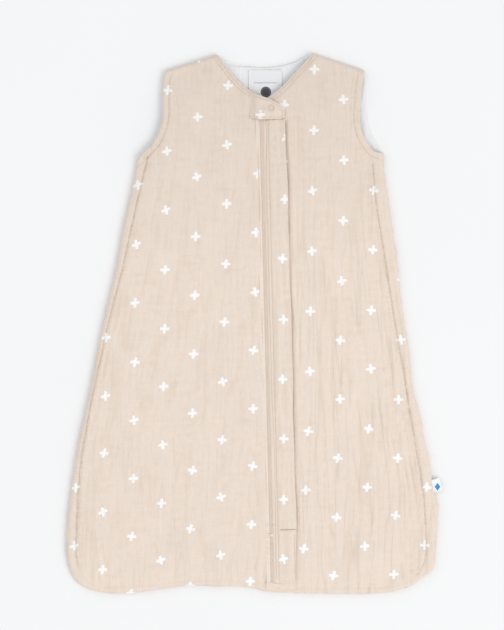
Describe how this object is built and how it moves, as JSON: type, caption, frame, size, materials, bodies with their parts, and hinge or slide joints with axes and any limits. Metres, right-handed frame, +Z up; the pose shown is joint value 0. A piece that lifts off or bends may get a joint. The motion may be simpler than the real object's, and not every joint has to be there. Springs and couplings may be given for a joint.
{
  "type": "baby sleeping bag",
  "caption": "Sleeveless A-line baby sleeping bag in printed muslin with a white lining, a front zip and a snap tab over the zip's top.",
  "frame": {"origin": "on the floor under the middle of the bag's outline, as it lies on its back", "axes": "+Z up, out of the front; +Y towards the neck; +X to the wearer's left, which is the right-hand side seen from above"},
  "size_m": [0.4704, 0.6763, 0.0182],
  "materials": {
    "outer_muslin": "crinkled cotton muslin with a scattered cross print",
    "lining_muslin": "plain white cotton muslin",
    "seam_muslin": "turned and topstitched muslin",
    "zip_tape": "woven polyester tape",
    "zip_coil": "moulded nylon coil",
    "zip_stop": "pressed metal",
    "zip_slider": "satin enamel",
    "zip_pull": "satin enamel",
    "thread": "dense satin stitch",
    "snap_enamel": "satin enamel",
    "snap_metal": "pressed metal",
    "neck_label": "satin ribbon",
    "size_mark": "printed dot",
    "side_label": "folded satin ribbon",
    "care_label": "satin ribbon"
  },
  "bodies": {
    "bag": {"back_panel": "outer_muslin", "back_lining": "lining_muslin", "front_left_panel": "outer_muslin", "front_left_lining": "lining_muslin", "front_right_panel": "outer_muslin", "front_right_lining": "lining_muslin", "side_seam_left": "seam_muslin", "side_seam_right": "seam_muslin", "hem_seam": "seam_muslin", "shoulder_seam_left": "seam_muslin", "shoulder_seam_right": "seam_muslin", "armhole_facing_left": "seam_muslin", "armhole_facing_right": "seam_muslin", "zip_tape_tail": "zip_tape", "zip_coil_tail": "zip_coil", "zip_bottom_stop": "zip_stop", "placket_foot": "outer_muslin", "placket_bar_tack": "thread", "neck_label": "neck_label", "size_mark": "size_mark", "side_label": "side_label", "care_label": "care_label"},
    "left_lapel": {"left_lapel": "outer_muslin", "left_lapel_lining": "lining_muslin", "zip_tape_left": "zip_tape", "zip_coil_left": "zip_coil", "zip_top_stop_left": "zip_stop", "neck_facing_left": "seam_muslin", "tab_base": "outer_muslin"},
    "right_lapel": {"right_lapel": "outer_muslin", "right_lapel_lining": "lining_muslin", "zip_tape_right": "zip_tape", "zip_coil_right": "zip_coil", "zip_top_stop_right": "zip_stop", "neck_facing_right": "seam_muslin", "placket": "outer_muslin", "snap_stud": "snap_metal", "snap_back_ring": "snap_metal"},
    "snap_tab": {"snap_tab": "outer_muslin", "snap_cap": "snap_enamel", "snap_socket": "snap_metal"},
    "zip_slider": {"zip_slider": "zip_slider"},
    "zip_pull": {"zip_pull": "zip_pull"}
  },
  "joints": [
    {"name": "zip_slide", "type": "slide", "parent": "bag", "child": "zip_slider", "axis": [0.0245, -0.9997, 0], "range_m": [0, 0.515]},
    {"name": "zip_pull_swing", "type": "hinge", "parent": "zip_slider", "child": "zip_pull", "pos_m": [0.00785, 0.262, 0.0148], "axis": [0.9997, 0.0245, 0], "range_deg": [0, 130]},
    {"name": "left_front_fold", "type": "hinge", "parent": "bag", "child": "left_lapel", "pos_m": [-0.044, 0.332, 0.0119], "axis": [0.0997, -0.995, 0], "range_deg": [0, 150]},
    {"name": "right_front_fold", "type": "hinge", "parent": "bag", "child": "right_lapel", "pos_m": [0.069, 0.334, 0.0119], "axis": [0.0701, 0.9975, 0], "range_deg": [0, 150]},
    {"name": "snap_tab_open", "type": "hinge", "parent": "left_lapel", "child": "snap_tab", "pos_m": [0.00135, 0.27, 0.0175], "axis": [0, -1, 0], "range_deg": [0, 45]}
  ],
  "couplings": [
    {"joint": "zip_pull_swing", "follows": "zip_slide", "rad_per_m": 4.4},
    {"joint": "left_front_fold", "follows": "zip_slide", "rad_per_m": 5.08},
    {"joint": "right_front_fold", "follows": "zip_slide", "rad_per_m": 5.08},
    {"joint": "snap_tab_open", "follows": "zip_slide", "rad_per_m": 1.525}
  ]
}
